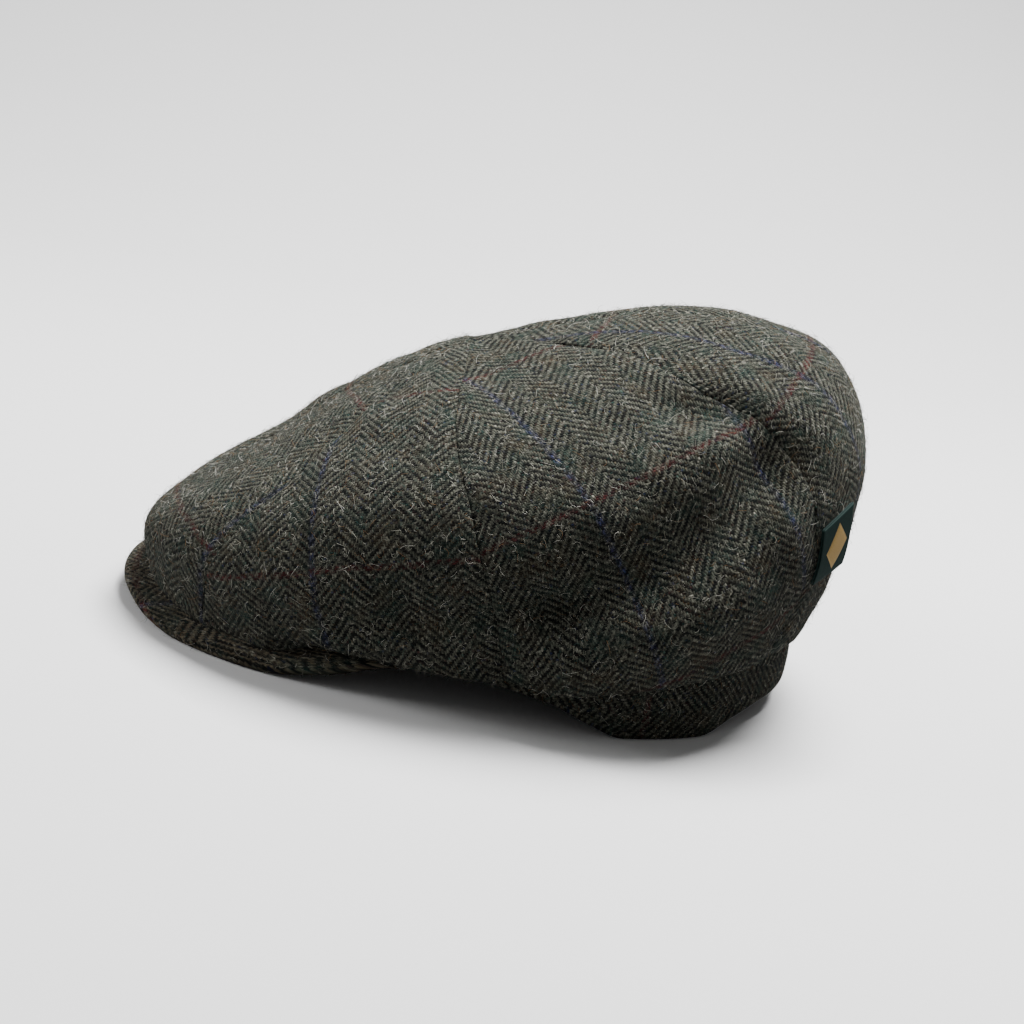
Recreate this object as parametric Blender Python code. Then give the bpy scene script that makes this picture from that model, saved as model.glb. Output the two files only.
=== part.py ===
"""Eight-panel flat cap in herringbone tweed, resting on a flat surface.

The peak points to -Y, the wearer's left is +X and up is +Z. Heights are measured from the
surface that the cap rests on, and lengths front to back from the middle of the head opening.
"""
import math
from collections import namedtuple

import bmesh
import bpy
import numpy as np

# Driving dimensions, in metres.
HEAD_HALF_WIDTH = 0.080      # head opening, middle to side
HEAD_HALF_LENGTH = 0.098     # head opening, middle to front or back
CROWN_HALF_WIDTH = 0.099     # widest bulge of the crown, middle to side
CROWN_REACH = 0.1495         # middle of the head opening to the front of the crown
CROWN_REAR = 0.1150          # middle of the head opening to the back of the crown
CROWN_HEIGHT = 0.141         # top of the crown above the surface
CROWN_WALL = 0.0022          # one crown panel, cloth with its backing
SEAM_DEPTH = 0.0009          # how far a seam lies below the middle of its panels
APEX_RADIUS = 0.0018         # where the eight tips end round the top point
CORNER_RISE = 0.0020         # how far the hem lifts where it passes from the peak to the band
HEM_WIDTH = 0.0060           # turned-in edge of the crown over the peak
BAND_WALL = 0.0026           # turned-up band, two layers of cloth
BAND_HEIGHT = 0.0290         # top of the band at its back, above the surface
PEAK_BEYOND = 0.0055         # how far the tip of the peak lies beyond the front of the crown
PEAK_REACH = CROWN_REACH + PEAK_BEYOND  # middle of the head opening to the tip of the peak
PEAK_HALF_WIDTH = 0.0815     # middle of the peak to its side
PEAK_WALL = 0.0034           # stiffened peak under two layers of cloth
PEAK_SHOWN = 0.0100          # how much of the peak shows in front of the crown
PEAK_CORNER = 66.0           # where the peak ends on the head opening, degrees from the front
LABEL_HEIGHT = 0.0200        # folded label, along its seam
LABEL_LENGTH = 0.0150        # folded label, out from its seam
LABEL_WALL = 0.0012          # folded label, two layers of ribbon
LABEL_RISE = 0.0040          # how much higher the label's free end lies than its sewn end
LABEL_STAND = 0.0022         # how far the label's free end stands off the cloth
LABEL_SETBACK = 0.0016       # from the seam to the label's sewn end
LABEL_CLEARANCE = 0.0006     # clearance under the label
LABEL_SEAM = 3               # seam that holds the label, counted from the front
LABEL_RING = 6.05            # ring number of the label's middle
LABEL_CURL = 1.5             # above 1 keeps the label close to the cloth near its seam
GAP = 0.0003                 # clearance between two pieces that touch
SEAM_GAP = 0.0005            # clearance between two crown panels
HEM_CLEARANCE = 0.0006       # clearance under the crown's faceted hem, on the band and the peak

# Number of facets.
PANELS = 8
PANEL_COLUMNS = 9
BAND_COLUMNS = 96
BAND_ROWS = 3
PEAK_COLUMNS = 34
PEAK_ROWS = 6
LABEL_COLUMNS = 6
LABEL_ROWS = 4

# Rings of the crown from its top point to the fold above the band. Front, middle and rear are
# places along the cap, as shares of CROWN_REACH, CROWN_REACH and CROWN_REAR. Side is a share of
# CROWN_HALF_WIDTH, and the heights are shares of CROWN_HEIGHT. Square makes a ring fuller.
Ring = namedtuple("Ring", "front front_height side side_height middle rear rear_height square")
RINGS = (
    Ring(-0.257, 0.825, 0.00, 0.825, -0.257, -0.321, 0.825, 1.00),
    Ring(-0.400, 0.735, 0.28, 0.790, -0.250, -0.070, 0.900, 1.00),
    Ring(-0.565, 0.615, 0.53, 0.752, -0.225, 0.250, 0.985, 0.98),
    Ring(-0.720, 0.472, 0.74, 0.680, -0.170, 0.560, 1.000, 0.96),
    Ring(-0.855, 0.368, 0.89, 0.585, -0.100, 0.830, 0.945, 0.94),
    Ring(-0.950, 0.290, 0.975, 0.445, -0.045, 0.970, 0.780, 0.93),
    Ring(-0.995, 0.220, 1.00, 0.320, -0.010, 1.000, 0.580, 0.93),
    Ring(-1.000, 0.160, 0.97, 0.215, 0.000, 0.975, 0.410, 0.94),
    Ring(-0.985, 0.108, 0.92, 0.120, 0.000, 0.920, 0.265, 0.93),
)
FRONT_POWER = 1.15           # how early a ring leaves its side height towards the front
REAR_POWER = 1.6             # the same towards the back
HEM_OUTER = len(RINGS)       # ring number of the fold's outer edge
HEM_INNER = len(RINGS) + 1   # ring number of the turned-in edge
SHOULDER = 3.0               # ring number where the seams bend over the shoulder
SIDE = 6.0                   # ring number of the widest bulge
SEAM_ROUND = 4               # above 2 keeps a panel level until close to its seams
SEAM_FADE = 1.5              # rings over which the seams grow deep from the top point and the hem
FOLD_FADE = 0.8              # rings over which the folds die out at the hem
FOLD_POINTS = 5              # places that a fold is worked out from

# Seams from the front to the back on one side, as angles in degrees from the front at four
# heights: at the top point, over the shoulder, at the widest bulge and at the hem.
Seam = namedtuple("Seam", "apex shoulder side hem")
SEAMS = (
    Seam(0.0, 0.0, 0.0, 0.0),
    Seam(45.0, 45.5, 41.5, 38.0),
    Seam(90.0, 84.0, 86.5, 90.0),
    Seam(148.0, 139.0, 146.0, 142.0),
    Seam(180.0, 180.0, 180.0, 180.0),
)

# Soft folds and dents of the crown. Side is 1 for the wearer's left and -1 for the right. A fold
# runs from one place to another, each given as a seam number from the front and a ring number.
# Breadth and depth are shares of CROWN_HALF_WIDTH, and a depth below zero is a ridge.
Fold = namedtuple("Fold", "side turn_from ring_from turn_to ring_to breadth depth")
FOLDS = (
    Fold(1, 1.75, 6.3, 2.15, 5.8, 0.13, 0.046),
    Fold(1, 2.15, 5.7, 2.90, 4.4, 0.14, 0.078),
    Fold(1, 2.22, 6.9, 2.65, 6.3, 0.13, -0.028),
    Fold(1, 2.84, 3.1, 2.95, 3.6, 0.09, 0.042),
    Fold(1, 2.75, 3.9, 3.10, 3.6, 0.06, -0.018),
    Fold(1, 1.15, 4.0, 1.55, 6.0, 0.10, 0.012),
    Fold(1, 2.00, 7.2, 2.02, 8.8, 0.06, 0.015),
    Fold(-1, 1.60, 6.6, 2.60, 5.9, 0.16, 0.036),
    Fold(-1, 2.70, 5.2, 3.15, 4.0, 0.12, 0.028),
    Fold(-1, 2.20, 8.2, 2.70, 8.1, 0.12, -0.018),
    Fold(-1, 1.20, 4.4, 1.50, 6.2, 0.11, 0.016),
    Fold(-1, 3.30, 6.8, 3.80, 5.8, 0.13, 0.022),
    Fold(-1, 0.35, 5.8, 1.25, 3.2, 0.34, 0.036),
    Fold(1, 3.45, 7.0, 3.90, 6.4, 0.12, 0.018),
)
CROWN_RINGS = (0.3, 0.65, 1.05, 1.5, 2.0, 2.5, 3.0, 3.5, 4.0, 4.5, 5.0, 5.5, 6.0, 6.5, 7.0, 7.5,
               8.0, 8.5, 9.0, 10.0)

# Edges of the band round the head opening. Turn is in degrees from the front, and the heights
# are shares of BAND_HEIGHT. The band rests where its lower edge is at zero.
BandEdge = namedtuple("BandEdge", "turn lower upper bulge")
BAND_EDGES = (
    BandEdge(0.0, 0.36, 0.72, 0.0),
    BandEdge(42.0, 0.38, 0.68, 0.0),
    BandEdge(62.0, 0.42, 0.55, 0.0),
    BandEdge(82.0, 0.47, 0.60, 0.1),
    BandEdge(96.0, 0.37, 0.68, 0.5),
    BandEdge(106.0, 0.14, 0.77, 0.8),
    BandEdge(113.0, 0.00, 0.84, 0.9),
    BandEdge(131.0, 0.00, 0.89, 1.0),
    BandEdge(142.0, 0.17, 0.93, 0.5),
    BandEdge(154.0, 0.28, 0.97, 0.3),
    BandEdge(180.0, 0.31, 1.00, 0.3),
)
BAND_BULGE = 0.0030          # how far the band stands out at its fullest
BULGE_SPAN = 0.62            # share of a half wave that the bulge takes from the band's top to its foot

# Outer edge of the peak from its middle to its corner. Across is the share of the way round,
# height is a share of PEAK_ROOT_HEIGHT.
PeakEdge = namedtuple("PeakEdge", "across height")
PEAK_EDGES = (
    PeakEdge(0.00, 0.52),
    PeakEdge(0.20, 0.42),
    PeakEdge(0.38, 0.12),
    PeakEdge(0.50, 0.00),
    PeakEdge(0.72, 0.00),
    PeakEdge(0.88, 0.42),
    PeakEdge(1.00, 0.95),
)
PEAK_ROOT_HEIGHT = 0.0130    # underside of the peak where it meets the band
PEAK_FULLNESS = 0.90         # below 1 gives the peak squarer sides
PEAK_DROOP = 1.3             # above 1 keeps the peak level near its root
SHOWN_AT_CORNER = 0.5        # share of PEAK_SHOWN that is left at the peak's corner
CORNER_START = 14.0          # the hem starts to leave the peak so many degrees before its corner
CORNER_END = 10.0            # and lies on the band so many degrees after it
CORNER_SPREAD = 8.0          # degrees that the hem on the peak is stretched by to meet the band

# Colours, sRGB shares, and roughness of the cloths.
TWEED_COLOUR = (0.290, 0.290, 0.255)
BAND_COLOUR = (0.235, 0.232, 0.205)
PEAK_COLOUR = (0.255, 0.245, 0.215)
LABEL_COLOUR = (0.065, 0.150, 0.125)
CLOTH_ROUGHNESS = 0.92
LABEL_ROUGHNESS = 0.70
SCREEN_GAMMA = 2.2           # from screen shares to light shares
SHARP_EDGE = 50.0            # facets that meet at more degrees than this are drawn with an edge


def smooth_curve(places, values, wanted):
    """Values at the wanted places on a smooth curve through the given ones."""
    places = np.asarray(places, float)
    values = np.asarray(values, float)
    wanted = np.clip(np.asarray(wanted, float), places[0], places[-1])
    steps = np.diff(values) / np.diff(places)
    slopes = np.zeros_like(values)
    level = steps[:-1] * steps[1:] > 0.0
    both = np.where(level, steps[:-1] + steps[1:], 1.0)
    slopes[1:-1] = np.where(level, 2.0 * steps[:-1] * steps[1:] / both, 0.0)
    index = np.clip(np.searchsorted(places, wanted, side="right") - 1, 0, len(places) - 2)
    width = places[index + 1] - places[index]
    share = (wanted - places[index]) / width
    return (values[index] * (1 + 2 * share) * (1 - share) ** 2
            + values[index + 1] * (3 - 2 * share) * share ** 2
            + slopes[index] * width * share * (1 - share) ** 2
            + slopes[index + 1] * width * (share - 1) * share ** 2)


def signed_power(value, power):
    return np.sign(value) * np.abs(value) ** power


def head_oval(angle, outward):
    """Point on the head opening's outline, moved outward by a distance."""
    across = (HEAD_HALF_WIDTH + outward) * np.sin(angle)
    along = -(HEAD_HALF_LENGTH + outward) * np.cos(angle)
    return across, along


def band_edge(angle, column):
    """One column of BAND_EDGES at angles in radians from the front, alike on both sides."""
    turn = np.degrees(np.abs((angle + math.pi) % (2 * math.pi) - math.pi))
    return smooth_curve([edge.turn for edge in BAND_EDGES],
                        [getattr(edge, column) for edge in BAND_EDGES], turn)


def peak_point(across, out):
    """Point on the peak's underside. Across runs from -1 to 1, out from 0 at the band to 1."""
    across, out = np.broadcast_arrays(np.asarray(across, float), np.asarray(out, float))
    root_angle = across * math.radians(PEAK_CORNER)
    root_x, root_y = head_oval(root_angle, BAND_WALL + GAP)
    corner_y = head_oval(math.radians(PEAK_CORNER), BAND_WALL + GAP)[1]
    edge_angle = across * math.pi / 2
    edge_x = PEAK_HALF_WIDTH * signed_power(np.sin(edge_angle), PEAK_FULLNESS)
    edge_y = corner_y - (PEAK_REACH + corner_y) * np.abs(np.cos(edge_angle)) ** PEAK_FULLNESS
    edge_z = PEAK_ROOT_HEIGHT * smooth_curve([edge.across for edge in PEAK_EDGES],
                                             [edge.height for edge in PEAK_EDGES], np.abs(across))
    x = root_x + (edge_x - root_x) * out
    y = root_y + (edge_y - root_y) * out
    z = PEAK_ROOT_HEIGHT + (edge_z - PEAK_ROOT_HEIGHT) * out ** PEAK_DROOP
    return np.stack([x, y, np.maximum(z, 0.0)], axis=-1)


def band_share(turn):
    """0 where the hem lies on the peak, 1 where it lies on the band, at angles from the front."""
    start, end = math.radians(PEAK_CORNER - CORNER_START), math.radians(PEAK_CORNER + CORNER_END)
    share = np.clip((turn - start) / (end - start), 0.0, 1.0)
    return share * share * (3 - 2 * share)


def hem_point(angle, inner):
    """Turned-in edge of the crown: over the peak in front, on the band at the sides and back."""
    side = np.sign(np.sin(angle))
    turn = np.abs((angle + math.pi) % (2 * math.pi) - math.pi)
    across = np.clip(turn / math.radians(PEAK_CORNER + CORNER_SPREAD), 0.0, 1.0)
    depth = np.linalg.norm(peak_point(across, 1.0) - peak_point(across, 0.0), axis=-1)
    inset = PEAK_SHOWN * (1.0 - (1.0 - SHOWN_AT_CORNER) * across ** 2) + HEM_WIDTH * inner
    shown = inset / np.maximum(depth, 2 * PEAK_SHOWN)
    share = band_share(turn)
    on_peak = peak_point(across, (1.0 - shown) * (1.0 - share))
    on_peak[..., 2] += PEAK_WALL + HEM_CLEARANCE + CORNER_RISE * 4 * share * (1 - share)
    outward = BAND_WALL + GAP - inner * (BAND_WALL + GAP)
    band_x, band_y = head_oval(turn, outward)
    band_top = band_edge(turn, "upper") * BAND_HEIGHT
    on_band = np.stack([band_x, band_y, band_top + HEM_CLEARANCE], axis=-1)
    share = share[..., None]
    point = on_peak * (1 - share) + on_band * share
    point[..., 0] *= np.where(side < 0, -1.0, 1.0)
    return point


def ring_point(ring, angle):
    """Point of one ring of the crown at angles in radians from the front."""
    forward = np.cos(angle)
    ahead = forward > 0
    middle = ring.middle * CROWN_REACH
    front = ring.front * CROWN_REACH - middle
    rear = ring.rear * CROWN_REAR - middle
    x = ring.side * CROWN_HALF_WIDTH * signed_power(np.sin(angle), ring.square)
    y = middle + np.where(ahead, front, rear) * np.abs(forward) ** ring.square
    end_height = np.where(ahead, ring.front_height, ring.rear_height)
    power = np.where(ahead, FRONT_POWER, REAR_POWER)
    rise = (end_height - ring.side_height) * np.abs(forward) ** power
    return np.stack([x, y, CROWN_HEIGHT * (ring.side_height + rise)], axis=-1)


def seam_angle(turn, ring):
    """Angle from the front, in radians, for places given in seams round from the front."""
    turn = np.mod(turn, PANELS)
    mirrored = turn > PANELS / 2
    near = np.where(mirrored, PANELS - turn, turn)
    stations = (0.0, SHOULDER, SIDE, float(HEM_INNER))
    angles = np.stack([smooth_curve(stations, seam, ring) for seam in SEAMS], -1)
    before = np.clip(np.floor(near).astype(int), 0, len(SEAMS) - 2)
    first = np.take_along_axis(angles, before[..., None], -1)[..., 0]
    second = np.take_along_axis(angles, before[..., None] + 1, -1)[..., 0]
    angle = np.radians(first + (second - first) * (near - before))
    return np.where(mirrored, -angle, angle)


def smooth_crown(turn, ring):
    """Crown without folds at places given as a seam number and a ring number."""
    turn, ring = np.broadcast_arrays(np.asarray(turn, float), np.asarray(ring, float))
    controls = []
    for number in range(HEM_INNER + 1):
        angle = seam_angle(turn, np.full(turn.shape, float(number)))
        if number < HEM_OUTER:
            controls.append(ring_point(RINGS[number], angle))
        else:
            controls.append(hem_point(angle, float(number - HEM_OUTER)))
    controls.append(controls[-1])
    first = 2 * controls[0] - controls[1]
    controls = np.stack([first] + controls)
    index = np.clip(np.floor(ring).astype(int), 0, HEM_INNER - 1)
    share = (ring - index)[..., None]
    picked = [np.take_along_axis(controls, (index + k)[None, ..., None], axis=0)[0] for k in range(4)]
    before, here, after, beyond = picked
    curve = 0.5 * (2 * here + (after - before) * share
                   + (2 * before - 5 * here + 4 * after - beyond) * share ** 2
                   + (3 * here - before - 3 * after + beyond) * share ** 3)
    straight = here + (after - here) * share
    return np.where((ring >= HEM_OUTER)[..., None], straight, curve)


def crown_normal(turn, ring):
    """Outward direction of the smooth crown."""
    step = 0.02
    low, high = np.maximum(ring - step, step), np.minimum(ring + step, HEM_INNER)
    down = smooth_crown(turn, high) - smooth_crown(turn, low)
    around = smooth_crown(turn + step, ring) - smooth_crown(turn - step, ring)
    normal = np.cross(down, around)
    return normal / np.linalg.norm(normal, axis=-1, keepdims=True)


def fold_depth(points):
    """How far the folds push the cloth in at points of the smooth crown."""
    depth = np.zeros(points.shape[:-1])
    for fold in FOLDS:
        turns = np.linspace(fold.turn_from, fold.turn_to, FOLD_POINTS)
        rings = np.linspace(fold.ring_from, fold.ring_to, FOLD_POINTS)
        path = smooth_crown(turns * fold.side, rings)
        nearest = np.full(depth.shape, np.inf)
        for start, end in zip(path[:-1], path[1:]):
            run = end - start
            share = np.clip((points - start) @ run / (run @ run), 0.0, 1.0)
            away = np.linalg.norm(points - start - share[..., None] * run, axis=-1)
            nearest = np.minimum(nearest, away)
        spread = nearest / (fold.breadth * CROWN_HALF_WIDTH)
        depth += fold.depth * CROWN_HALF_WIDTH * np.exp(-spread ** 2)
    return depth


def crown_surface(turn, ring, facing=None):
    """Outer face of the crown with its seams and folds, and its outward direction.

    Facing holds the seam numbers at which the outward direction is taken, if not at turn.
    """
    turn, ring = np.broadcast_arrays(np.asarray(turn, float), np.asarray(ring, float))
    points = smooth_crown(turn, ring)
    normal = crown_normal(turn if facing is None else facing, ring)
    over_panel = 1.0 - np.abs(2.0 * np.mod(turn, 1.0) - 1.0) ** SEAM_ROUND
    to_hem = HEM_OUTER - ring
    fade = np.clip(ring / SEAM_FADE, 0.0, 1.0) * np.clip(to_hem / SEAM_FADE, 0.0, 1.0)
    fold_fade = np.clip(to_hem / FOLD_FADE, 0.0, 1.0)
    lift = SEAM_DEPTH * (over_panel - 1.0) * fade - fold_depth(points) * fold_fade
    return points + normal * lift[..., None], normal


def turned_over(corners):
    """The same face seen from its other side, still split along the same diagonal."""
    return corners[:1] + corners[:0:-1]


def closed_shell(name, outer, inner, closed_round=False):
    """Object from two grids of points: the outer face, the inner face and the edges between."""
    rows, columns = outer.shape[:2]
    mesh = bmesh.new()
    skins = [[[mesh.verts.new(point) for point in row] for row in face] for face in (outer, inner)]
    spans = columns if closed_round else columns - 1
    for row in range(rows - 1):
        for column in range(spans):
            after = (column + 1) % columns
            for skin, flip in zip(skins, (False, True)):
                corners = [skin[row][column], skin[row + 1][column],
                           skin[row + 1][after], skin[row][after]]
                mesh.faces.new(turned_over(corners) if flip else corners)
    for row, flip in ((0, True), (rows - 1, False)):
        for column in range(spans):
            after = (column + 1) % columns
            corners = [skins[0][row][column], skins[1][row][column],
                       skins[1][row][after], skins[0][row][after]]
            mesh.faces.new(turned_over(corners) if flip else corners)
    if not closed_round:
        for column, flip in ((0, False), (columns - 1, True)):
            for row in range(rows - 1):
                corners = [skins[0][row][column], skins[1][row][column],
                           skins[1][row + 1][column], skins[0][row + 1][column]]
                mesh.faces.new(turned_over(corners) if flip else corners)
    bmesh.ops.recalc_face_normals(mesh, faces=mesh.faces)
    data = bpy.data.meshes.new(name)
    mesh.to_mesh(data)
    mesh.free()
    data.shade_smooth()
    data.set_sharp_from_angle(angle=math.radians(SHARP_EDGE))
    piece = bpy.data.objects.new(name, data)
    bpy.context.scene.collection.objects.link(piece)
    return piece


def cloth_material(name, colour, roughness):
    material = bpy.data.materials.new(name)
    material.use_nodes = True
    shader = material.node_tree.nodes["Principled BSDF"]
    linear = [share ** SCREEN_GAMMA for share in colour]
    shader.inputs["Base Color"].default_value = (*linear, 1.0)
    shader.inputs["Roughness"].default_value = roughness
    shader.inputs["Metallic"].default_value = 0.0
    material.diffuse_color = (*linear, 1.0)
    return material


def seam_spread(seam, rings):
    """Distance square to a seam that one whole turn step covers, at the given rings."""
    step = 0.01
    around = (smooth_crown(seam + step, rings) - smooth_crown(seam - step, rings)) / (2 * step)
    down = smooth_crown(seam, np.minimum(rings + step, HEM_INNER)) - smooth_crown(seam, rings - step)
    return np.linalg.norm(np.cross(around, down), axis=-1) / np.linalg.norm(down, axis=-1)


def build_crown_panel(number, material):
    """One of the eight gores, from one seam to the next and from the top point to the hem."""
    first_ring = np.linalg.norm(smooth_crown(0.5, 1.0) - smooth_crown(0.5, 0.0))
    top_ring = APEX_RADIUS / first_ring
    rings = np.array((top_ring,) + CROWN_RINGS)
    start = number + 0.5 * SEAM_GAP / seam_spread(number, rings)
    end = number + 1 - 0.5 * SEAM_GAP / seam_spread(number + 1, rings)
    share = np.linspace(0.0, 1.0, PANEL_COLUMNS + 1)
    turn = start[:, None] + (end - start)[:, None] * share[None, :]
    facing = turn.copy()
    facing[:, 0], facing[:, -1] = number, number + 1
    outer, normal = crown_surface(turn, rings[:, None], facing)
    panel = closed_shell(f"crown_panel_{number + 1}", outer, outer - CROWN_WALL * normal)
    panel.data.materials.append(material)
    return panel


def build_band(material):
    """Turned-up band round the head opening, standing on its two lowest stretches."""
    angle = np.linspace(0.0, 2 * math.pi, BAND_COLUMNS, endpoint=False)[None, :]
    up = np.linspace(0.0, 1.0, BAND_ROWS + 1)[:, None]
    lower = np.maximum(band_edge(angle, "lower") * BAND_HEIGHT, 0.0)
    upper = band_edge(angle, "upper") * BAND_HEIGHT
    height = lower + (upper - lower) * up
    bulge = BAND_BULGE * band_edge(angle, "bulge") * np.sin(math.pi * (1 - up) * BULGE_SPAN)
    faces = []
    for wall in (BAND_WALL, 0.0):
        x, y = head_oval(angle, wall + bulge)
        faces.append(np.stack([x, y, height + 0 * x], axis=-1))
    band = closed_shell("band", faces[0], faces[1], closed_round=True)
    band.data.materials.append(material)
    return band


def build_peak(material):
    """Stiff peak, highest at its root and resting on its two sides."""
    across = np.linspace(-1.0, 1.0, PEAK_COLUMNS + 1)[None, :]
    out = np.linspace(0.0, 1.0, PEAK_ROWS + 1)[:, None]
    under = peak_point(across, out)
    over = under + np.array([0.0, 0.0, PEAK_WALL])
    peak = closed_shell("peak", over, under)
    peak.data.materials.append(material)
    return peak


def build_label(material):
    """Small folded ribbon label sewn into the rear left seam, lying on the panel behind it."""
    along = np.linspace(-0.5, 0.5, LABEL_ROWS + 1)[:, None]
    out = np.linspace(0.0, 1.0, LABEL_COLUMNS + 1)[None, :]
    step = 0.05
    here = smooth_crown(LABEL_SEAM, LABEL_RING)
    ring_length = np.linalg.norm(smooth_crown(LABEL_SEAM, LABEL_RING + step) - here) / step
    turn_length = np.linalg.norm(smooth_crown(LABEL_SEAM + step, LABEL_RING) - here) / step
    ring = LABEL_RING + (along * LABEL_HEIGHT - out * LABEL_RISE) / ring_length
    turn = LABEL_SEAM + (LABEL_SETBACK + out * LABEL_LENGTH) / turn_length
    points, normal = crown_surface(turn, ring)
    lift = LABEL_CLEARANCE + LABEL_STAND * out[..., None] ** LABEL_CURL
    inner = points + normal * lift
    label = closed_shell("label", inner + normal * LABEL_WALL, inner)
    label.data.materials.append(material)
    return label


def stand_on_origin(pieces):
    """Carry all pieces on one empty, so that the middle of their box's foot is the origin."""
    corners = np.array([vertex.co for piece in pieces for vertex in piece.data.vertices])
    low, high = corners.min(axis=0), corners.max(axis=0)
    carrier = bpy.data.objects.new("cap_carrier", None)
    carrier.location = (-(low[0] + high[0]) / 2, -(low[1] + high[1]) / 2, -low[2])
    bpy.context.scene.collection.objects.link(carrier)
    for piece in pieces:
        piece.parent = carrier
    bpy.context.view_layer.update()


def build_cap():
    for thing in list(bpy.data.objects):
        bpy.data.objects.remove(thing, do_unlink=True)
    tweed = cloth_material("herringbone_tweed", TWEED_COLOUR, CLOTH_ROUGHNESS)
    band_tweed = cloth_material("band_tweed", BAND_COLOUR, CLOTH_ROUGHNESS)
    peak_tweed = cloth_material("peak_tweed", PEAK_COLOUR, CLOTH_ROUGHNESS)
    ribbon = cloth_material("label_ribbon", LABEL_COLOUR, LABEL_ROUGHNESS)
    pieces = [build_crown_panel(number, tweed) for number in range(PANELS)]
    pieces.append(build_band(band_tweed))
    pieces.append(build_peak(peak_tweed))
    pieces.append(build_label(ribbon))
    stand_on_origin(pieces)
    return pieces


build_cap()
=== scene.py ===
"""Looks of the tweed flat cap: its cloth, weave and loose wool, the floor, the light and the camera.

Shapes are worked out in the cap's own axes, where the peak points to -Y, the wearer's left is +X,
up is +Z and the middle of the head opening is the origin. place_of_cap() then sets them in the row
frame.
"""
import math
from collections import namedtuple

import bpy
import numpy as np
from mathutils import Matrix, Vector


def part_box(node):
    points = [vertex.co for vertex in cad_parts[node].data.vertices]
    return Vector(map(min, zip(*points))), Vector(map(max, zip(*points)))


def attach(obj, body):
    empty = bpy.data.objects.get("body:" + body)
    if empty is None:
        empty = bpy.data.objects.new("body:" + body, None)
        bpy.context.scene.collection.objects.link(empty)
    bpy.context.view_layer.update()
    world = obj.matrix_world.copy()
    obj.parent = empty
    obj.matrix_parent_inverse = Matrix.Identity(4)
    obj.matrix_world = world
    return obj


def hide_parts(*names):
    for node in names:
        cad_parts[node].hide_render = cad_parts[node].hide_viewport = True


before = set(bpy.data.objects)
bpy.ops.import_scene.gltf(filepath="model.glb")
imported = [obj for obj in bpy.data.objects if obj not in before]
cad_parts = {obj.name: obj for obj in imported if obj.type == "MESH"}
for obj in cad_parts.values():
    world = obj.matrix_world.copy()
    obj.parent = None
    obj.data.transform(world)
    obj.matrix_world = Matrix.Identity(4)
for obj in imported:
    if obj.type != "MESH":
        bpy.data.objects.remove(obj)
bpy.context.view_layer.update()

# Sizes of the cap, in metres, as the solids have them.
HEAD_HALF_WIDTH = 0.080      # head opening, middle to side
HEAD_HALF_LENGTH = 0.098     # head opening, middle to front or back
CROWN_HALF_WIDTH = 0.099     # widest bulge of the crown, middle to side
CROWN_REACH = 0.1495         # middle of the head opening to the front of the crown
CROWN_REAR = 0.1150          # middle of the head opening to the back of the crown
CROWN_HEIGHT = 0.141         # top of the crown above the surface
CROWN_WALL = 0.0022          # one crown panel, cloth with its backing
SEAM_DEPTH = 0.0009          # how far a seam lies below the middle of its panels
APEX_RADIUS = 0.0003         # where the eight tips end round the top point
CORNER_RISE = 0.0020         # how far the hem lifts where it passes from the peak to the band
HEM_WIDTH = 0.0060           # turned-in edge of the crown over the peak
BAND_WALL = 0.0026           # turned-up band, two layers of cloth
BAND_HEIGHT = 0.0290         # top of the band at its back, above the surface
BAND_BULGE = 0.0030          # how far the band stands out at its fullest
BULGE_SPAN = 0.62            # share of a half wave that the bulge takes from the band's top to its foot
PEAK_BEYOND = 0.0055         # how far the tip of the peak lies beyond the front of the crown
PEAK_REACH = CROWN_REACH + PEAK_BEYOND
PEAK_HALF_WIDTH = 0.0815     # middle of the peak to its side
PEAK_WALL = 0.0034           # stiffened peak under two layers of cloth
PEAK_SHOWN = 0.0100          # how much of the peak shows in front of the crown
PEAK_ROOT_HEIGHT = 0.0130    # underside of the peak where it meets the band
PEAK_CORNER = 66.0           # where the peak ends on the head opening, degrees from the front
PEAK_FULLNESS = 0.90         # below 1 gives the peak squarer sides
PEAK_DROOP = 1.3             # above 1 keeps the peak level near its root
SHOWN_AT_CORNER = 0.5        # share of PEAK_SHOWN that is left at the peak's corner
CORNER_START = 14.0          # the hem starts to leave the peak so many degrees before its corner
CORNER_END = 10.0            # and lies on the band so many degrees after it
CORNER_SPREAD = 8.0          # degrees that the hem on the peak is stretched by to meet the band
LABEL_HEIGHT = 0.0200        # folded label, along its seam
LABEL_LENGTH = 0.0150        # folded label, out from its seam
LABEL_WALL = 0.0012          # folded label, two layers of ribbon
LABEL_RISE = 0.0040          # how much higher the label's free end lies than its sewn end
LABEL_STAND = 0.0022         # how far the label's free end stands off the cloth
LABEL_SETBACK = 0.0016       # from the seam to the label's sewn end
LABEL_CLEARANCE = 0.0006     # clearance under the label
LABEL_SEAM = 3               # seam that holds the label, counted from the front
LABEL_RING = 6.05            # ring number of the label's middle
LABEL_CURL = 1.5             # above 1 keeps the label close to the cloth near its seam
GAP = 0.0003                 # clearance between two pieces that touch
HEM_CLEARANCE = 0.0006       # clearance under the crown's hem, on the band and the peak

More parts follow.
